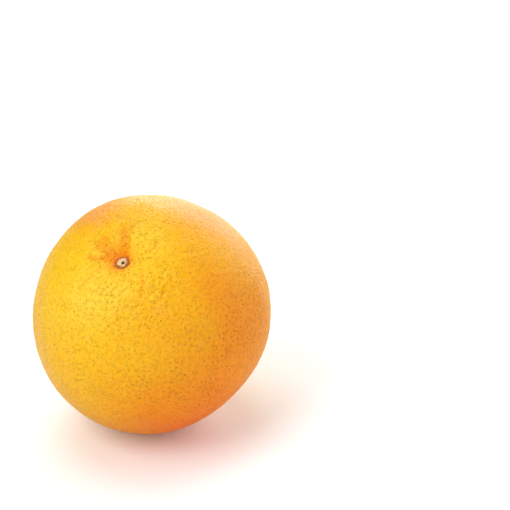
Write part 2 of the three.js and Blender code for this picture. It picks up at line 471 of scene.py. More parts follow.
@dataclass(frozen=True)
class Peel:
    """The fruit's peel: one closed skin with creases, ripples and thousands of pores. Lengths in millimetres.

    Attributes:
        skin: The outer surface that it follows.
        cells: Divisions along each edge of the cube that the ball of the mesh is blown up from.
        crowding, crowding_arc: How much closer the mesh is drawn together at the stem, and how far out.
        sheet_margin: Empty edge round each square of the unwrapped sheet, as a share of the square.
        squash: How far above the floor the skin starts to give.
        inset: How far the whole peel is drawn in, so that its unevenness stays within the part's size.
        seat_clearance: From the button's outline to the rim of its seat.
        seat_wall: Where the seat's wall starts and ends, inwards from the rim.
        fade_in: Where the pores start and where they are full, outwards from the rim.
        rim_share: Share of the ripples that is left at the rim.
        dents, bumps, grain: The unevenness all over, from broad to fine.
        streaks: Fine folds between the pores, as deep as their height.
        knobs: Knobs, which are strong in the knobby patches and have plain_knobs of their height elsewhere.
        fans: Folds that fan out from the stem.
        plain_boldness: How bold the pores are outside the patches.
        boldness_drift, warm_drift, tan_drift, crease_shade_drift: How each mask wanders from place to place.
        tan_patches: Patches with a pinkish blush.
        deep_crease, ridge_highlight_height: Depth and height at which a crease has most of its painted shade
            and a ridge most of its painted highlight.
        crease_shade_share: Share of the painted shade, over a deeper orange of the peel, that a crease has on
            average.
        flush_bearing: The side of the stem where the painted shade in the hollow round the button is
            strongest, in degrees.
        flush_even: Share of that painted shade that is the same on all sides.
        scar_radius, scar_edge: Radius of the blossom scar, and width of its soft edge.
    """

    skin: Skin = Skin()
    cells: int = 128
    crowding: float = 0.5
    crowding_arc: float = 9.0
    sheet_margin: float = 0.006
    squash: float = 0.3
    inset: float = 0.18
    pores: Pores = Pores()
    seat_clearance: float = 0.25
    seat_depth: float = 1.3
    seat_wall: Pair = (-0.15, 0.45)
    fade_in: Pair = (0.5, 3.0)
    rim_share: float = 0.25
    dents: Waviness = Waviness(24.0, seed=11, height=0.12)
    bumps: Waviness = Waviness(7.5, seed=12, height=0.03)
    grain: Waviness = Waviness(2.0, seed=15, height=0.024, waves=60)
    streaks: Waviness = Waviness(2.9, seed=14, height=0.065, stretch=(1.6, 0.9, 1.2))
    knobs: Waviness = Waviness(3.6, seed=13, height=0.022)
    plain_knobs: float = 0.4
    knobby_patches: tuple[Patch, ...] = (
        Patch(polar=27, bearing=-25, spread=13, strength=1.4),
        Patch(polar=20, bearing=160, spread=18, strength=0.8),
    )
    fans: tuple[Fan, ...] = (
        Fan(arc=11.0, reach=8.0, gap=2.4, height=0.08, slimness=3.5, bearing=0.0, grip=0.0, seed=16),
        Fan(arc=23.0, reach=9.0, gap=2.2, height=0.24, slimness=2.6, bearing=-28.0, grip=5.0, seed=17),
        Fan(arc=24.0, reach=9.0, gap=2.6, height=0.08, slimness=2.4, bearing=60.0, grip=3.0, seed=18),
    )
    plain_boldness: float = 0.45
    boldness_drift: Waviness = Waviness(26.0, seed=21, height=0.12)
    boldness_limits: Pair = (0.12, 1.4)
    # Bolder: before and behind the button, beside the folds, on the belly, at the right and at the back.
    bold_pores: tuple[Patch, ...] = (
        Patch(polar=23, bearing=-96, spread=15, strength=0.45),
        Patch(polar=34, bearing=70, spread=24, strength=0.35),
        Patch(polar=22, bearing=-48, spread=9, strength=0.3),
        Patch(polar=66, bearing=-66, spread=24, strength=0.35),
        Patch(polar=68, bearing=-18, spread=32, strength=0.45),
        Patch(polar=95, bearing=150, spread=40, strength=0.35),
        Patch(polar=130, bearing=40, spread=40, strength=0.3),
    )
    # Fainter: right and left of the button, in the middle of the front and low on the left.
    faint_pores: tuple[Patch, ...] = (
        Patch(polar=30, bearing=-10, spread=14, strength=0.35),
        Patch(polar=37, bearing=-141, spread=14, strength=0.22),
        Patch(polar=44, bearing=-50, spread=15, strength=0.35),
        Patch(polar=62, bearing=-120, spread=18, strength=0.12),
    )
    # The orange cheek low on the right and its reach up that side are painted shade, more orange on the side
    # turned from the lamps, over the peel's own orange; the edges of the top and the back are the peel's own
    # orange.
    warm_and_shaded_patches: tuple[Patch, ...] = (
        Patch(polar=105, bearing=-55, spread=50, strength=1.0),
        Patch(polar=85, bearing=10, spread=26, strength=0.30),
        Patch(polar=55, bearing=0, spread=30, strength=0.38),
        Patch(polar=52, bearing=62, spread=20, strength=0.50),
        Patch(polar=42, bearing=127, spread=15, strength=0.5),
        Patch(polar=6, bearing=150, spread=8, strength=0.55),
        Patch(polar=26, bearing=-140, spread=18, strength=-0.10),
        Patch(polar=120, bearing=100, spread=50, strength=0.55),
        Patch(polar=115, bearing=-165, spread=38, strength=0.35),
    )
    warm_drift: Waviness = Waviness(34.0, seed=31, height=0.03)
    # The painted highlight on the pale shoulder left of the button, where the window's sheen falls, and the
    # paler peel right behind and in front of it.
    sheen_and_pale_patches: tuple[Patch, ...] = (
        Patch(polar=25, bearing=-122, spread=15, strength=0.9),
        Patch(polar=20, bearing=60, spread=9, strength=0.4),
        Patch(polar=16, bearing=-80, spread=8, strength=0.4),
    )
    # The blush up on the left and on towards the back, with a little at the stem and some low at the back.
    tan_patches: tuple[Patch, ...] = (
        Patch(polar=44, bearing=130, spread=14, strength=0.75),
        Patch(polar=63, bearing=152, spread=22, strength=0.42),
        Patch(polar=28, bearing=115, spread=9, strength=0.2),
        Patch(polar=100, bearing=80, spread=24, strength=0.5),
    )
    tan_drift: Waviness = Waviness(15.0, seed=32, height=0.12)
    # Painted shade in the creases: the depth where it is full, its average share and its wandering.
    deep_crease: float = 0.55
    crease_shade_share: float = 0.85
    crease_shade_drift: Waviness = Waviness(3.2, seed=33, height=0.22)
    # Painted highlight on the ridges: the ridge height at which it is full.
    ridge_highlight_height: float = 0.35
    # Painted shade round the rim of the button's seat: its width.
    collar_width: float = 0.75
    # Painted shade in the hollow round the button: its width, the side where it is strongest and its even
    # share.
    flush_width: float = 2.8
    flush_bearing: float = 155.0
    flush_even: float = 0.62
    scar_radius: float = 1.2
    scar_edge: float = 1.4

    def rays(self) -> tuple[np.ndarray, np.ndarray, np.ndarray]:
        """Blows a cube's six square grids up into a ball.

        Returns:
            The unit vectors of the vertices, the four corners of each face, and each corner's place on the
            unwrapped sheet of the six squares, three across and two up.
        """
        steps = np.linspace(-1.0, 1.0, self.cells + 1)
        slopes, shares = np.tan(steps * math.pi / 4.0), (steps + 1.0) / 2.0
        grid_u, grid_v = np.meshgrid(slopes, slopes, indexing="ij")
        share_u, share_v = np.meshgrid(shares, shares, indexing="ij")
        index = np.arange((self.cells + 1) ** 2).reshape(self.cells + 1, self.cells + 1)
        corners = np.stack([index[:-1, :-1], index[1:, :-1], index[1:, 1:], index[:-1, 1:]], axis=-1)
        corners = corners.reshape(-1, 4)
        axes = np.eye(3)
        inner = 1.0 - 2.0 * self.sheet_margin
        rays, faces, sheet = [], [], []
        for side in range(6):
            axis, sign = side % 3, 1.0 if side < 3 else -1.0
            out, along, across = axes[axis] * sign, axes[(axis + 1) % 3], axes[(axis + 2) % 3] * sign
            ball = out + grid_u[..., None] * along + grid_v[..., None] * across
            faces.append(corners + len(rays) * index.size)
            rays.append((ball / np.linalg.norm(ball, axis=-1, keepdims=True)).reshape(-1, 3))
            place = np.stack([share_u, share_v], axis=-1).reshape(-1, 2) * inner + self.sheet_margin
            sheet.append((place + [axis, side // 3]) / [3.0, 2.0])
        rays, faces, sheet = np.concatenate(rays), np.concatenate(faces), np.concatenate(sheet)
        _, first, merged = np.unique(rays.round(decimals=6), axis=0, return_index=True, return_inverse=True)
        return self.crowd(rays[first]), merged.reshape(-1)[faces], sheet[faces]

    def crowd(self, rays: np.ndarray) -> np.ndarray:
        """Draws the vertices near the stem closer to it, so that the seat and the creases are finer there."""
        polar = np.arccos(np.clip(rays[:, 2], -1.0, 1.0))
        drawn = polar * (1.0 - self.crowding * bell(polar * self.skin.equator / 2.0, self.crowding_arc))
        across = np.hypot(rays[:, 0], rays[:, 1])
        share = np.sin(drawn) / np.maximum(across, TINY)
        return np.column_stack([rays[:, 0] * share, rays[:, 1] * share, np.cos(drawn)])

    def ripples(self, points: np.ndarray, rays: np.ndarray) -> np.ndarray:
        """Adds up the peel's unevenness, from soft dents to the grain and the folds round the stem.

        Args:
            points: The skin's places, in millimetres.
            rays: The unit vectors to them.

        Returns:
            How far each place stands out, in millimetres.
        """
        knobby = self.plain_knobs + patches_over(rays, self.knobby_patches)
        soft = self.dents.at(points) + self.bumps.at(points) + self.knobs.at(points) * knobby
        return soft - np.abs(self.streaks.at(points)) + self.grain.at(points) + self.puckers(rays)

    def puckers(self, rays: np.ndarray) -> np.ndarray:
        """Makes the folds that fan out from the stem.

        Args:
            rays: The unit vectors to the skin's places.

        Returns:
            How far each place stands out, in millimetres.
        """
        arcs, bearings = self.skin.stem_arc(rays), np.arctan2(rays[:, 1], rays[:, 0])
        total = np.zeros(len(rays))
        for fan in self.fans:
            across = np.column_stack([np.cos(bearings), np.sin(bearings)]) * fan.arc
            spread = np.column_stack([across, arcs / fan.slimness])
            turned = np.cos(bearings - math.radians(fan.bearing)) - 1.0
            share = bell(arcs - fan.arc, fan.reach) * np.exp(fan.grip * turned)
            total += Waviness(fan.gap, fan.seed, fan.height).at(spread) * share
        return total

    def build(self, lie: Lie, button: "StemButton") -> Piece:
        """Makes the peel's mesh and paints the masks that its material reads.

        Args:
            lie: The way the fruit lies; it is settled into the CAD part's box here.
            button: The button that the seat in the peel is cut for.

        Returns:
            The finished piece.
        """
        rays, faces, sheet = self.rays()
        smooth = rays * self.skin.radius(rays)[:, None]
        lie.settle(smooth, "fruit")
        bearings = np.arctan2(rays[:, 1], rays[:, 0])
        from_rim = self.skin.stem_arc(rays) - (button.outline(bearings) + self.seat_clearance)

        away_from_stem = ease(*self.fade_in, from_rim)
        boldness = self.plain_boldness + patches_over(rays, self.bold_pores)
        boldness += self.boldness_drift.at(smooth) - patches_over(rays, self.faint_pores)
        pits = self.pores.pits(smooth) * np.clip(boldness, *self.boldness_limits) * away_from_stem

        lift = self.ripples(smooth, rays) * (self.rim_share + (1.0 - self.rim_share) * away_from_stem)
        lift -= self.pores.depth * pits + self.seat_depth * ease(*self.seat_wall, -from_rim) + self.inset
        placed = lie.place(smooth + rays * lift[:, None])
        placed[:, 2] = self.rest(placed[:, 2])

        piece = new_piece("fruit_peel", placed, faces.tolist())
        unwrapped = piece.data.uv_layers.new(name="OFBake")
        unwrapped.data.foreach_set("uv", sheet.reshape(-1).astype(np.float32))
        paint(piece, "pore", pits)
        self.paint_patches(piece, rays, smooth)
        self.paint_round_stem(piece, bearings, np.maximum(from_rim, 0.0))
        return piece

    def paint_patches(self, piece: Piece, rays: np.ndarray, smooth: np.ndarray) -> None:
        """Paints the masks of the patches, the painted shade in the creases, the painted highlight on the
        ridges and the blossom scar.

        Args:
            piece: The peel.
            rays: The unit vectors to its vertices.
            smooth: The places of its vertices before the pores and ripples, in millimetres.
        """
        cut = self.skin.crease_cut(rays)
        # The creases' colour is painted shade down in the creases, over a deeper orange that the peel has
        # there.
        crease_shade = np.tanh(np.maximum(cut, 0.0) / self.deep_crease)
        from_blossom = math.pi * self.skin.equator / 2.0 - self.skin.stem_arc(rays)
        # The warm mask holds painted shade low on the right as well as the peel's own orange.
        paint(piece, "warm", patches_over(rays, self.warm_and_shaded_patches) + self.warm_drift.at(smooth))
        paint(piece, "tan", patches_over(rays, self.tan_patches) + self.tan_drift.at(smooth))
        # The bright mask holds a painted highlight on the shoulder left of the button, and paler peel by the
        # button.
        paint(piece, "bright", patches_over(rays, self.sheen_and_pale_patches))
        # Painted shade in the creases.
        paint(piece, "crease", crease_shade * (self.crease_shade_share + self.crease_shade_drift.at(smooth)))
        # Painted highlight on the ridges, lighter where they stand out.
        paint(piece, "ridge", np.clip(-cut / self.ridge_highlight_height, 0.0, 1.0))
        paint(piece, "blossom", bell(from_blossom - self.scar_radius, self.scar_edge))

    def paint_round_stem(self, piece: Piece, bearings: np.ndarray, out: np.ndarray) -> None:
        """Paints the masks of the narrow painted shade round the seat and the wider painted shade in the
        hollow round the button.

        Args:
            piece: The peel.
            bearings: Bearing of each vertex, in radians.
            out: How far out from the seat's rim each vertex is, in millimetres.
        """
        # Painted shade in the stem hollow, stronger on one side of the button.
        turned = np.cos(bearings - math.radians(self.flush_bearing))
        side = self.flush_even + (1.0 - self.flush_even) * turned
        # Painted shade round the rim of the seat.
        paint(piece, "collar", bell(out, self.collar_width))
        paint(piece, "flush", bell(out, self.flush_width) * side)

    def rest(self, heights: np.ndarray) -> np.ndarray:
        """Lets the skin give where it meets the floor, so that it rests on a flat spot with a soft edge."""
        give = self.squash * MM
        blend = np.clip((heights + give) / (2.0 * give), 0.0, 1.0)
        return np.where(heights > give, heights, give * blend * blend)


# ---------------------------------------------------------------- the stem button


@dataclass(frozen=True)
class Lobes:
    """Evenly spaced lobes round the button: how many, how high, and their turn in radians."""

    count: float
    height: float
    turn: float = 0.0

    def at(self, bearings: np.ndarray) -> np.ndarray:
        """Gives the lobes' height at each bearing."""
        return self.height * np.cos(self.count * bearings + self.turn)


@dataclass(frozen=True)
class StemButton:
    """The dried end of the stem: a pale, lobed woody disc with bark at its rim. Lengths in millimetres.

    Attributes:
        diameter: Across the button, before its oval and lobes.
        proud: How far its rim stands above the peel on the stem axis.
        oval, long_bearing: How much longer it is one way, as a share, and that way in degrees.
        lobes: The lobes of its outline.
        skirt: Depth at which its sides turn in, as a share of its thickness.
        foot: Radius of its foot, as a share of its outline.
        ring: Where the raised ring of wood is and how wide, as shares of the outline.
        lumps: How uneven the ring is.
        edge: Where the fall to the outline starts and ends, as shares of the outline.
        cracks: How many drying cracks run out to the outline.
        crack_twist, crack_sharpness: How far they turn on their way out, in radians, and how narrow they are.
        crack_fade: Where they start and where they are full, as shares of the outline.
        fibres: The unevenness of the wood.
        pith_offset, cream_offset: Where the pit of pith and the middle of the pale wood are.
        pith_wall, pith_stain: Where the pit's wall and its colour start and end, as shares of its radius.
        bark_edge, bark_drift: Where the bark starts and is full, as shares of the radius, and its wandering.
        sides, dips: Depths between which the sides turn to bark, and between which the top turns darker as
            painted shade in its dips.
        rings, segments: Rings of the mesh, and divisions round each.
    """

    diameter: float = 6.0
    thickness: float = 1.8
    proud: float = 0.5
    oval: float = 0.07
    long_bearing: float = 20.0
    lobes: Lobes = Lobes(5.0, 0.12)
    skirt: float = 0.55
    foot: float = 0.86
    ring_height: float = 0.28
    ring: Pair = (0.60, 0.15)
    lumps: tuple[Lobes, ...] = (Lobes(3.0, 0.55, turn=0.7), Lobes(7.0, 0.35, turn=2.0))
    edge_drop: float = 0.65
    edge: Pair = (0.68, 1.0)
    cracks: int = 11
    crack_depth: float = 0.07
    crack_twist: float = 2.0
    crack_sharpness: int = 6
    crack_fade: Pair = (0.25, 0.6)
    fibres: tuple[Waviness, ...] = (Waviness(1.1, seed=41, height=0.09), Waviness(0.5, seed=42, height=0.04))
    pith_diameter: float = 1.7
    pith_depth: float = 0.7
    pith_offset: Pair = (0.40, -0.05)
    pith_wall: Pair = (0.45, 1.15)
    pith_stain: Pair = (0.6, 1.25)
    cream_offset: Pair = (-0.12, 0.15)
    bark_edge: Pair = (0.56, 0.76)
    bark_drift: Waviness = Waviness(1.0, seed=43, height=0.13)
    sides: Pair = (0.9, 1.2)
    # Painted shade: the top darker in its dips.
    dips: Pair = (0.05, 0.6)
    rings: int = 34
    segments: int = 110

    def outline(self, bearings: np.ndarray) -> np.ndarray:
        """Gives the radius of the button's outline at each bearing, in radians."""
        oval = self.oval * np.cos(2.0 * (bearings - math.radians(self.long_bearing)))
        return self.diameter / 2.0 * (1.0 + oval) + self.lobes.at(bearings)

    def from_pith(self, points: np.ndarray) -> np.ndarray:
        """Gives how far each place is from the middle of the pith, as a share of the pith's radius."""
        away = np.hypot(points[:, 0] - self.pith_offset[0], points[:, 1] - self.pith_offset[1])
        return away / (self.pith_diameter / 2.0)

    def top(self, share: np.ndarray, bearings: np.ndarray, points: np.ndarray) -> np.ndarray:
        """Works out the height of the button's top.

        Args:
            share: How far out each place is, from 0 at the middle to 1 at the outline.
            bearings: Bearing of each place, in radians.
            points: The places across the button, in millimetres, with a height of 0.

        Returns:
            Heights in millimetres, 0 at the top of a plain ring.
        """
        place, width = self.ring
        lumps = 1.0 + sum(lobes.at(bearings) for lobes in self.lumps)
        height = self.ring_height * (bell(share - place, width) * lumps - 1.0)
        height -= self.edge_drop * ease(*self.edge, share) ** 2
        height -= self.pith_depth * (1.0 - ease(*self.pith_wall, self.from_pith(points)))
        cracked = np.maximum(np.cos(self.cracks * bearings + self.crack_twist * share), 0.0)
        height -= self.crack_depth * cracked**self.crack_sharpness * ease(*self.crack_fade, share)
        return height + sum(fibres.at(points) for fibres in self.fibres)

    def build(self, skin: Skin, lie: Lie) -> Piece:
        """Makes the button's mesh, in its seat on the stem axis, and paints its masks.

        Args:
            skin: The fruit's skin, which says how high the seat is.
            lie: The way the fruit lies.

        Returns:
            The finished piece.
        """
        turn = np.linspace(0.0, 2.0 * math.pi, self.segments, endpoint=False)
        share = np.sin(np.linspace(0.0, math.pi / 2.0, self.rings + 1))[1:]
        shares, bearings = (grid.reshape(-1) for grid in np.meshgrid(share, turn, indexing="ij"))
        out = self.outline(bearings) * shares
        flat = np.column_stack([out * np.cos(bearings), out * np.sin(bearings), np.zeros(len(out))])
        heights = self.top(shares, bearings, flat)

        middle = np.zeros((1, 3))
        middle_height = self.top(np.zeros(1), np.zeros(1), middle)
        around = np.tile(turn, 2)
        skirt_out = self.outline(around) * np.repeat([1.0, self.foot], self.segments)
        skirt_height = np.repeat([-self.thickness * self.skirt, -self.thickness], self.segments)
        skirt = np.column_stack([skirt_out * np.cos(around), skirt_out * np.sin(around), skirt_height])

        top = np.column_stack([flat[:, :2], heights])
        foot = np.array([[0.0, 0.0, -self.thickness]])
        points = np.concatenate([np.column_stack([middle[:, :2], middle_height]), top, skirt, foot])
        points[:, 2] += skin.peel_height() + self.proud

        piece = new_piece("stem_button_top", lie.place(points), self.faces())
        depth = -np.concatenate([middle_height, heights, np.full(2 * self.segments + 1, -self.thickness)])
        stained = 1.0 - ease(*self.pith_stain, self.from_pith(points))
        aside = np.hypot(points[:, 0] - self.cream_offset[0], points[:, 1] - self.cream_offset[1])
        ragged = aside / (self.diameter / 2.0) + self.bark_drift.at(points)
        paint(piece, "bark", np.maximum(ease(*self.bark_edge, ragged), ease(*self.sides, depth)))
        paint(piece, "pith", stained * (depth < self.sides[1]))
        # Painted shade: the top darker where it dips.
        paint(piece, "dip", ease(*self.dips, depth))
        return piece

    def faces(self) -> list[tuple[int, ...]]:
        """Joins the middle, the rings, the skirt and the foot into one closed surface."""
        count = self.segments
        loops = self.rings + 2
        foot = 1 + loops * count
        faces: list[tuple[int, ...]] = []
        for step in range(count):
            after = (step + 1) % count
            faces.append((0, 1 + step, 1 + after))
            for loop in range(loops - 1):
                inner, outer = 1 + loop * count, 1 + (loop + 1) * count
                faces.append((inner + step, outer + step, outer + after, inner + after))
            last = 1 + (loops - 1) * count
            faces.append((last + step, foot, last + after))
        return faces


# ---------------------------------------------------------------- shader tools


@dataclass(frozen=True)
class Tint:
    """A colour, and how much of it shows where its mask is full."""

    colour: Colour
    share: float


class Graph:
    """A node tree that is being wired, with its nodes laid out in rows of equal length."""

    ROW_LENGTH = 8
    NODE_WIDTH = 180.0
    NODE_HEIGHT = 220.0

    def __init__(self, tree: bpy.types.NodeTree) -> None:
        """Takes the tree to wire."""
        self.tree = tree

    def add(self, kind: str, **settings: object) -> Node:
        """Adds a node.

        Args:
            kind: The node's type name.
            **settings: Properties to set on it.

        Returns:
            The new node.
        """
        node = self.tree.nodes.new(kind)
        row, column = divmod(len(self.tree.nodes), self.ROW_LENGTH)
        node.location = (self.NODE_WIDTH * column, -self.NODE_HEIGHT * row)
        for name, value in settings.items():
            setattr(node, name, value)
        return node

    def join(self, source: Socket, target: Socket) -> None:
        """Links one socket to another."""
        self.tree.links.new(source, target)

    def feed(self, target: Socket, value: object) -> None:
        """Links a socket to a target, or sets the target where the value is plain."""
        if isinstance(value, Socket):
            self.join(value, target)
        else:
            target.default_value = value

    def maths(self, operation: str, first: object, second: object = 0.0, clamp: bool = False) -> Socket:
        """Adds a Math node and gives its output.

        Args:
            operation: The node's operation.
            first: A number or a socket.
            second: A number or a socket.
            clamp: Whether the result is kept between 0 and 1.

        Returns:
            The socket of the result.
        """
        node = self.add("ShaderNodeMath", operation=operation, use_clamp=clamp)
        self.feed(node.inputs[0], first)
        self.feed(node.inputs[1], second)
        return node.outputs[0]

    def times(self, first: object, second: object, clamp: bool = False) -> Socket:
        """Multiplies two values, each a number or a socket."""
        return self.maths("MULTIPLY", first, second, clamp)

    def plus(self, first: object, second: object, clamp: bool = False) -> Socket:
        """Adds two values, each a number or a socket."""
        return self.maths("ADD", first, second, clamp)

    def minus(self, first: object, second: object, clamp: bool = False) -> Socket:
        """Takes the second value from the first, each a number or a socket."""
        return self.maths("SUBTRACT", first, second, clamp)

    def blend(self, share: object, under: object, over: object) -> Socket:
        """Adds a Mix node for colours and gives its output.

        Args:
            share: How much of the second colour shows, a number or a socket.
            under: The first colour, as a colour or a socket.
            over: The second colour, as a colour or a socket.

        Returns:
            The socket of the mixed colour.
        """
        node = self.add("ShaderNodeMix", data_type="RGBA", clamp_factor=True)
        self.feed(node.inputs[0], share)
        for socket, colour in zip((node.inputs[6], node.inputs[7]), (under, over)):
            self.feed(socket, colour if isinstance(colour, Socket) else (*colour, 1.0))
        return node.outputs[2]

    def tint(self, cover: Socket, under: object, tint: Tint) -> Socket:
        """Lays a tint over a colour where a mask covers it, and gives the mixed colour."""
        return self.blend(self.times(cover, tint.share), under, tint.colour)

    def noise(self, where: Socket, scale: Socket, detail: float, distortion: float = 0.0) -> Socket:
        """Adds a Noise Texture node.

        Args:
            where: The places.
            scale: Its scale.
            detail: Its octaves of detail.
            distortion: How much it wanders.

        Returns:
            The socket of its value.
        """
        node = self.add("ShaderNodeTexNoise")
        self.join(where, node.inputs["Vector"])
        self.join(scale, node.inputs["Scale"])
        node.inputs["Detail"].default_value = detail
        node.inputs["Distortion"].default_value = distortion
        return node.outputs["Fac"]

    def spread(
        self, value: object, low: float, high: float, to_low: float = 0.0, to_high: float = 1.0
    ) -> Socket:
        """Adds a smooth Map Range node and gives its output.

        Args:
            value: The value to map.
            low: Where the result is to_low.
            high: Where the result is to_high.
            to_low: Lowest result.
            to_high: Highest result.

        Returns:
            The socket of the result.
        """
        node = self.add("ShaderNodeMapRange", interpolation_type="SMOOTHSTEP")
        for socket, number in zip(node.inputs[:5], (value, low, high, to_low, to_high)):
            self.feed(socket, number)
        return node.outputs[0]

    def mask(self, name: str) -> Socket:
        """Reads a painted mask of the piece."""
        return self.add("ShaderNodeAttribute", attribute_name=name).outputs["Fac"]


@dataclass(frozen=True)
class Mottling:
    """What a finish asks of the mottling: the scales of its clouds and flecks, and the flecks' cover."""

    cloud_scale: float
    fleck_scale: float
    fleck_cover: float


@dataclass(frozen=True)
class FineRelief:
    """What a finish asks of the fine relief: its three scales, and the pits' share of its height."""

    ridge_scale: float
    pit_scale: float
    grain_scale: float
    pit_share: float


def socket_name(name: str) -> str:
    """Turns a field's name into the name of its socket."""
    return name.replace("_", " ").title()


def start_group(name: str, kind: type, results: tuple[str, ...]) -> tuple[Graph, Node, Node]:
    """Starts a shader node group.

    Args:
        name: Name of the group.
        kind: The dataclass whose fields are its inputs, next to Vector.
        results: Its outputs.

    Returns:
        Its graph, and its input and output nodes.
    """
    tree = bpy.data.node_groups.new(name, "ShaderNodeTree")
    tree.interface.new_socket("Vector", in_out="INPUT", socket_type="NodeSocketVector")
    for given in fields(kind):
        tree.interface.new_socket(socket_name(given.name), in_out="INPUT", socket_type="NodeSocketFloat")
    for result in results:
        tree.interface.new_socket(result, in_out="OUTPUT", socket_type="NodeSocketFloat")
    graph = Graph(tree)
    return graph, graph.add("NodeGroupInput"), graph.add("NodeGroupOutput")


def mottling_group() -> bpy.types.NodeTree:
    """Builds the mottling that grown surfaces share: soft clouds and small sharp flecks.

    Returns:
        A group that gives Cloud and Fleck, both 0 to 1.
    """
    bare_level, cover_gain, sharpness = 0.78, 0.5, 9.0
    graph, given, out = start_group("Mottling", Mottling, ("Cloud", "Fleck"))
    cloud = graph.noise(given.outputs["Vector"], given.outputs["Cloud Scale"], detail=3.0)
    fleck = graph.noise(given.outputs["Vector"], given.outputs["Fleck Scale"], detail=2.0)
    threshold = graph.minus(bare_level, graph.times(given.outputs["Fleck Cover"], cover_gain))
    graph.join(graph.spread(cloud, low=0.3, high=0.7), out.inputs["Cloud"])
    graph.join(graph.times(graph.minus(fleck, threshold), sharpness, clamp=True), out.inputs["Fleck"])
    return graph.tree


def fine_relief_group() -> bpy.types.NodeTree:
    """Builds the finest relief that grown surfaces share: short wandering ridges, little pits and a grain.

    Returns:
        A group that gives Height and Pit, both 0 to 1.
    """
    middle, even_share, ridge_sharpness = 0.5, 0.5, 5.0
    graph, given, out = start_group("Fine Relief", FineRelief, ("Height", "Pit"))
    where, pit_share = given.outputs["Vector"], given.outputs["Pit Share"]
    cells = graph.add("ShaderNodeTexVoronoi", feature="SMOOTH_F1")
    cells.inputs["Smoothness"].default_value = 0.35
    graph.join(where, cells.inputs["Vector"])
    graph.join(given.outputs["Pit Scale"], cells.inputs["Scale"])
    pit = graph.spread(cells.outputs["Distance"], low=0.05, high=0.42, to_low=1.0, to_high=0.0)

    grain = graph.noise(where, given.outputs["Grain Scale"], detail=3.0)
    wander = graph.noise(where, given.outputs["Ridge Scale"], detail=1.0, distortion=0.6)
    fold = graph.maths("ABSOLUTE", graph.minus(wander, middle))
    ridge = graph.minus(1.0, graph.times(fold, ridge_sharpness, clamp=True))
    between = graph.plus(graph.times(grain, even_share), graph.times(ridge, even_share))

    pits = graph.times(graph.minus(1.0, pit), pit_share)
    graph.join(graph.plus(pits, graph.times(between, graph.minus(1.0, pit_share))), out.inputs["Height"])
    graph.join(pit, out.inputs["Pit"])
    return graph.tree


@dataclass(frozen=True)
class Effects:
    """The node groups that both finishes place, each with its own values."""

    mottling: bpy.types.NodeTree
    fine_relief: bpy.types.NodeTree

    def place(
        self, graph: Graph, tree: bpy.types.NodeTree, where: Socket, values: Mottling | FineRelief
    ) -> Node:
        """Places a group in a material.

        Args:
            graph: The material's graph.
            tree: The group to place.
            where: The places that it reads.
            values: What the material asks of it.

        Returns:
            The group's node.
        """
        node = graph.add("ShaderNodeGroup", node_tree=tree)
        graph.join(where, node.inputs["Vector"])
        for name, value in asdict(values).items():
            node.inputs[socket_name(name)].default_value = value
        return node


def start_material(name: str) -> tuple[bpy.types.Material, Graph, Node]:
    """Starts a node material with an empty Principled shader.

    Args:
        name: Name of the material.

    Returns:
        The material, its graph and its shader node.
    """
    material = bpy.data.materials.new(name)
    material.use_nodes = True
    material.node_tree.nodes.clear()
    graph = Graph(material.node_tree)
    shader = graph.add("ShaderNodeBsdfPrincipled")
    output = graph.add("ShaderNodeOutputMaterial")
    graph.join(shader.outputs["BSDF"], output.inputs["Surface"])
    return material, graph, shader


def add_bump(graph: Graph, shader: Node, height: Socket, depth: float, strength: float) -> None:
    """Gives a material its finest relief.

    Args:
        graph: The material's graph.
        shader: Its shader node.
        height: The relief, 0 to 1.
        depth: How deep it is, in metres.
        strength: How much of it shows.
    """
    bump = graph.add("ShaderNodeBump")
    bump.inputs["Distance"].default_value = depth
    bump.inputs["Strength"].default_value = strength
    graph.join(height, bump.inputs["Height"])
    graph.join(bump.outputs["Normal"], shader.inputs["Normal"])


# ---------------------------------------------------------------- finishes


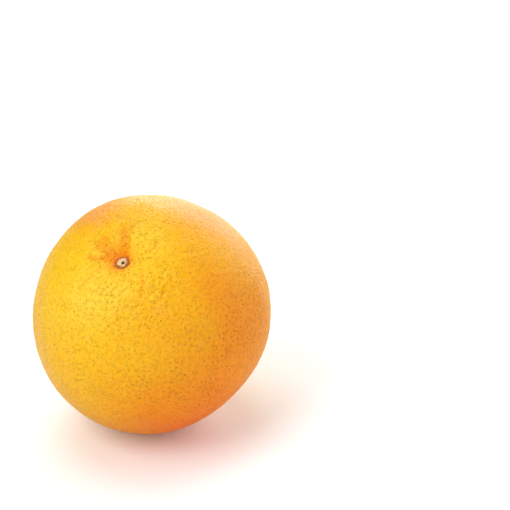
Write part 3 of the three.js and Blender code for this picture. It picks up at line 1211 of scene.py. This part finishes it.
@dataclass(frozen=True)
class PeelFinish:
    """Ripe grapefruit peel: yellow with orange patches, waxy, with darker oil glands.

    Attributes:
        yellow, orange, pale: The plain colour, and those of the warm patches, with their painted shade, and
            of the bright patches, with their painted highlight.
        gland, warm_gland: The colour of the pores in yellow and in orange peel.
        broad, close: The mottling that changes slowly over the peel, and the one between the pores.
        pale_cloud, sheen_and_pale_share: How pale the clouds of the close mottling and the bright patches
            are; the bright patch on the shoulder is a painted highlight.
        warm_cloud, cool_shift: How warm the broad clouds are, and how much cooler the whole peel is.
        blush, blush_edge: The tan patches, and where one starts and where it is full.
        pit_stain: How strong the pores' colour is in the pits of the fine relief.
        cloud_roughness, pore_roughness: How much rougher the clouds and the pores are.
        glow, glow_reach, glow_scale: How much light enters the peel, and its reach by colour, times metres.
        fine_depth, fine_strength: Depth of the fine relief in metres, and how much of it shows.
        pore_dip: How far the pores dip in the fine relief.
    """

    yellow: Colour = (0.97, 0.565, 0.001)
    orange: Colour = (0.98, 0.195, 0.001)
    pale: Colour = (0.99, 0.66, 0.060)
    gland: Colour = (0.44, 0.22, 0.006)
    warm_gland: Colour = (0.55, 0.070, 0.003)
    broad: Mottling = Mottling(cloud_scale=55.0, fleck_scale=1150.0, fleck_cover=0.45)
    close: Mottling = Mottling(cloud_scale=260.0, fleck_scale=560.0, fleck_cover=0.3)
    relief: FineRelief = FineRelief(ridge_scale=480.0, pit_scale=680.0, grain_scale=1300.0, pit_share=0.55)
    pale_cloud: float = 0.20
    sheen_and_pale_share: float = 0.55
    warm_cloud: float = 0.05
    cool_shift: float = 0.025
    blush: Tint = Tint((0.93, 0.42, 0.085), 0.75)
    blush_edge: Pair = (0.15, 0.95)
    olive_fleck: Tint = Tint((0.72, 0.42, 0.005), 0.12)
    orange_fleck: Tint = Tint(orange, 0.30)
    # Painted highlight on the ridges.
    ridge: Tint = Tint(pale, 0.45)
    # Painted shade in the creases, over a deeper orange that the peel has there.
    crease: Tint = Tint((0.86, 0.285, 0.001), 0.80)
    # Painted shade in the hollow round the button.
    flush: Tint = Tint((0.88, 0.18, 0.003), 0.85)
    # Painted shade round the rim of the button's seat.
    collar: Tint = Tint((0.52, 0.13, 0.006), 0.85)
    scar: Tint = Tint((0.36, 0.17, 0.05), 0.8)
    gland_strength: float = 0.48
    pit_stain: float = 0.08
    roughness: float = 0.32
    cloud_roughness: float = 0.10
    pore_roughness: float = 0.12
    ior: float = 1.45
    specular: float = 0.25
    glow: float = 0.12
    glow_reach: Colour = (1.0, 0.45, 0.12)
    glow_scale: float = 0.0016
    fine_depth: float = 0.0011
    fine_strength: float = 0.8
    pore_dip: float = 0.5

    def build(self, effects: Effects) -> bpy.types.Material:
        """Wires the material.

        Args:
            effects: The shared node groups.

        Returns:
            The finished material.
        """
        material, graph, shader = start_material("Grapefruit peel")
        where = graph.add("ShaderNodeTexCoord").outputs["Object"]
        broad = effects.place(graph, effects.mottling, where, self.broad).outputs
        close = effects.place(graph, effects.mottling, where, self.close).outputs
        relief = effects.place(graph, effects.fine_relief, where, self.relief).outputs

        pale = graph.times(close["Cloud"], self.pale_cloud)
        # painted highlight and paler peel from the bright mask
        pale = graph.plus(pale, graph.times(graph.mask("bright"), self.sheen_and_pale_share), clamp=True)
        # The peel's own orange, with painted shade low on the right from the warm mask.
        warmth_and_shade = graph.plus(graph.mask("warm"), graph.times(broad["Cloud"], self.warm_cloud))
        warmth_and_shade = graph.minus(warmth_and_shade, self.cool_shift, clamp=True)
        colour = graph.blend(warmth_and_shade, graph.blend(pale, self.yellow, self.pale), self.orange)
        for cover, tint in (
            (graph.spread(graph.mask("tan"), *self.blush_edge), self.blush),
            (close["Fleck"], self.olive_fleck),
            (broad["Fleck"], self.orange_fleck),
            # painted highlight on the ridges
            (graph.mask("ridge"), self.ridge),
            # painted shade in the creases
            (graph.mask("crease"), self.crease),
            # painted shade in the hollow round the button
            (graph.mask("flush"), self.flush),
            # painted shade round the rim of the seat
            (graph.mask("collar"), self.collar),
        ):
            colour = graph.tint(cover, colour, tint)
        gland = graph.times(graph.mask("pore"), self.gland_strength)
        gland = graph.plus(gland, graph.times(relief["Pit"], self.pit_stain), clamp=True)
        colour = graph.blend(gland, colour, graph.blend(warmth_and_shade, self.gland, self.warm_gland))
        graph.join(graph.tint(graph.mask("blossom"), colour, self.scar), shader.inputs["Base Color"])

        rough = graph.plus(graph.times(close["Cloud"], self.cloud_roughness), self.roughness)
        rough = graph.plus(rough, graph.times(graph.mask("pore"), self.pore_roughness))
        graph.join(rough, shader.inputs["Roughness"])
        shader.inputs["IOR"].default_value = self.ior
        shader.inputs["Specular IOR Level"].default_value = self.specular
        shader.inputs["Subsurface Weight"].default_value = self.glow
        shader.inputs["Subsurface Radius"].default_value = self.glow_reach
        shader.inputs["Subsurface Scale"].default_value = self.glow_scale
        height = graph.minus(relief["Height"], graph.times(graph.mask("pore"), self.pore_dip))
        add_bump(graph, shader, height, self.fine_depth, self.fine_strength)
        return material


@dataclass(frozen=True)
class DriedStemFinish:
    """The dried stem: cream fibres on top, brown bark at the rim and a dark pit of pith."""

    cream: Colour = (0.94, 0.70, 0.44)
    grain: Tint = Tint((0.72, 0.40, 0.16), 0.6)
    # Painted shade in the dips of the top.
    dip: Tint = Tint(grain.colour, 0.5)
    fleck: Tint = Tint((0.46, 0.17, 0.025), 0.35)
    bark: Tint = Tint(fleck.colour, 1.0)
    pith: Tint = Tint((0.11, 0.07, 0.035), 1.0)
    mottling: Mottling = Mottling(cloud_scale=900.0, fleck_scale=3200.0, fleck_cover=0.5)
    relief: FineRelief = FineRelief(ridge_scale=1800.0, pit_scale=2600.0, grain_scale=4200.0, pit_share=0.4)
    roughness: float = 0.78
    cloud_roughness: float = 0.12
    fine_depth: float = 0.00012
    fine_strength: float = 0.9

    def build(self, effects: Effects) -> bpy.types.Material:
        """Wires the material.

        Args:
            effects: The shared node groups.

        Returns:
            The finished material.
        """
        material, graph, shader = start_material("Dried stem")
        where = graph.add("ShaderNodeTexCoord").outputs["Object"]
        mottle = effects.place(graph, effects.mottling, where, self.mottling).outputs
        relief = effects.place(graph, effects.fine_relief, where, self.relief).outputs
        colour = self.cream
        for cover, tint in (
            (mottle["Cloud"], self.grain),
            # painted shade in the dips
            (graph.mask("dip"), self.dip),
            (mottle["Fleck"], self.fleck),
            (graph.mask("bark"), self.bark),
            (graph.mask("pith"), self.pith),
        ):
            colour = graph.tint(cover, colour, tint)
        graph.join(colour, shader.inputs["Base Color"])
        rough = graph.plus(graph.times(mottle["Cloud"], self.cloud_roughness), self.roughness)
        graph.join(rough, shader.inputs["Roughness"])
        add_bump(graph, shader, relief["Height"], self.fine_depth, self.fine_strength)
        return material


@dataclass(frozen=True)
class FloorFinish:
    """Plain matt white studio board.

    Attributes:
        white: How white the camera sees it.
        bounce: How much of the light it throws back at the fruit.
    """

    white: float = 1.05
    bounce: float = 0.80

    def build(self) -> bpy.types.Material:
        """Makes the material."""
        material = bpy.data.materials.new("Studio board")
        material.use_nodes = True
        material.node_tree.nodes.clear()
        graph = Graph(material.node_tree)
        path, output = graph.add("ShaderNodeLightPath"), graph.add("ShaderNodeOutputMaterial")
        mix = graph.add("ShaderNodeMixShader")
        graph.join(path.outputs["Is Camera Ray"], mix.inputs[0])
        for slot, level in ((1, self.bounce), (2, self.white)):
            board = graph.add("ShaderNodeBsdfDiffuse")
            board.inputs["Color"].default_value = (level, level, level, 1.0)
            graph.join(board.outputs["BSDF"], mix.inputs[slot])
        graph.join(mix.outputs[0], output.inputs["Surface"])
        return material


# ---------------------------------------------------------------- the studio


@dataclass(frozen=True)
class Softbox:
    """A soft rectangular lamp that faces the fruit, placed in metres from its centre, with its power in W."""

    name: str
    place: tuple[float, float, float]
    width: float
    height: float
    power: float
    colour: Colour = (1.0, 1.0, 1.0)

    def build(self, aim: Vector) -> None:
        """Makes the lamp and turns it to face a point."""
        lamp = bpy.data.lights.new(self.name, "AREA")
        lamp.shape = "RECTANGLE"
        lamp.size, lamp.size_y = self.width, self.height
        lamp.energy = self.power
        lamp.color = self.colour
        stand = bpy.data.objects.new(self.name, lamp)
        stand.location = aim + Vector(self.place)
        stand.rotation_euler = (-Vector(self.place)).to_track_quat("-Z", "Y").to_euler()
        bpy.context.scene.collection.objects.link(stand)


@dataclass(frozen=True)
class Studio:
    """The pale floor, the soft light and the camera.

    Attributes:
        floor_side: Side of the square floor, in metres.
        lamps: The soft lamps.
        surround: Brightness of the white surround that lights the fruit.
        distance: From the camera to the fruit's centre, in metres.
        elevation: Angle of the camera above the fruit's centre, in degrees.
        look_down: How far the camera itself looks down.
        look_aside: How far it looks past the fruit to the right, with minus for right.
        lens: Focal length, in millimetres.
    """

    floor_side: float = 1.3
    floor: FloorFinish = FloorFinish()
    lamps: tuple[Softbox, ...] = (
        Softbox("Window", place=(-0.75, -0.45, 0.85), width=0.9, height=0.9, power=9.7),
        Softbox("Overhead", place=(-0.10, 0.25, 1.00), width=0.8, height=0.8, power=5.0),
        Softbox("Back wall", place=(0.38, 1.08, 0.28), width=1.15, height=0.6, power=10.8),
        Softbox("Right wall", place=(1.12, 0.10, 0.36), width=1.3, height=0.9, power=5.5),
        Softbox("Front wall", place=(0.20, -1.15, 0.25), width=1.2, height=0.6, power=4.3),
    )
    surround: float = 0.16
    distance: float = 0.685
    elevation: float = 28.0
    look_down: float = 25.64
    look_aside: float = -4.74
    lens: float = 100.0

    def lay_floor(self) -> Piece:
        """Makes the floor at the height that the fruit rests on."""
        half, height = self.floor_side / 2.0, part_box("fruit")[0].z
        around = ((-half, -half), (half, -half), (half, half), (-half, half))
        corners = np.array([(across, along, height) for across, along in around])
        floor = new_piece("floor", corners, [(0, 1, 2, 3)])
        floor.data.materials.append(self.floor.build())
        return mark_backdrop(floor)

    def light(self, aim: Vector) -> None:
        """Hangs the lamps and sets the white surround, which the camera sees at full brightness."""
        for lamp in self.lamps:
            lamp.build(aim)
        world = bpy.data.worlds.new("White surround")
        world.use_nodes = True
        world.node_tree.nodes.clear()
        graph = Graph(world.node_tree)
        seen, dim = graph.add("ShaderNodeBackground"), graph.add("ShaderNodeBackground")
        path = graph.add("ShaderNodeLightPath")
        seen.inputs["Strength"].default_value = 1.0
        dim.inputs["Strength"].default_value = self.surround
        mix, output = graph.add("ShaderNodeMixShader"), graph.add("ShaderNodeOutputWorld")
        graph.join(path.outputs["Is Camera Ray"], mix.inputs[0])
        graph.join(dim.outputs[0], mix.inputs[1])
        graph.join(seen.outputs[0], mix.inputs[2])
        graph.join(mix.outputs[0], output.inputs["Surface"])
        for background in (seen, dim):
            background.inputs["Color"].default_value = (1.0, 1.0, 1.0, 1.0)
        bpy.context.scene.world = world

    def set_camera(self, aim: Vector) -> None:
        """Sets the camera on the front side of the fruit, looking down and a little past it."""
        lens = bpy.data.cameras.new("Camera")
        lens.lens = self.lens
        camera = bpy.data.objects.new("Camera", lens)
        rise = math.radians(self.elevation)
        camera.location = aim + self.distance * Vector((0.0, -math.cos(rise), math.sin(rise)))
        camera.rotation_euler = (math.radians(90.0 - self.look_down), 0.0, math.radians(self.look_aside))
        bpy.context.scene.collection.objects.link(camera)
        bpy.context.scene.camera = camera

    def build(self, aim: Vector) -> None:
        """Makes the whole studio about a point."""
        self.lay_floor()
        self.light(aim)
        self.set_camera(aim)
        view = bpy.context.scene.view_settings
        view.view_transform = "Standard"
        view.look = "None"


# ---------------------------------------------------------------- the object


@dataclass
class Grapefruit:
    """The whole object: the peel, the stem button, their finishes and the way it lies."""

    peel: Peel = Peel()
    button: StemButton = StemButton()
    peel_finish: PeelFinish = PeelFinish()
    stem_finish: DriedStemFinish = DriedStemFinish()
    lie: Lie = field(default_factory=Lie)

    def build(self) -> list[Piece]:
        """Makes both pieces, dresses them and stands them in for their CAD nodes.

        Returns:
            The two pieces.
        """
        effects = Effects(mottling=mottling_group(), fine_relief=fine_relief_group())
        fruit = self.peel.build(self.lie, self.button)
        fruit.data.materials.append(self.peel_finish.build(effects))
        button = self.button.build(self.peel.skin, self.lie)
        button.data.materials.append(self.stem_finish.build(effects))
        for piece, node, coat in ((fruit, "fruit", Coat.PEEL), (button, "stem_button", Coat.DRIED_STEM)):
            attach(piece, BODY)
            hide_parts(node)
        return [fruit, button]


def main() -> None:
    """Builds the fruit and the studio, and reports each piece."""
    logging.basicConfig(level=logging.INFO, format="%(name)s: %(message)s")
    fruit = Grapefruit()
    for piece in fruit.build():
        LOG.info("%s: %d vertices, %d faces", piece.name, len(piece.data.vertices), len(piece.data.polygons))
    studio = Studio()
    studio.build(Vector(fruit.lie.centre))
    LOG.info("studio: floor, %d lamps and camera", len(studio.lamps))


if __name__ == "__main__":
    main()
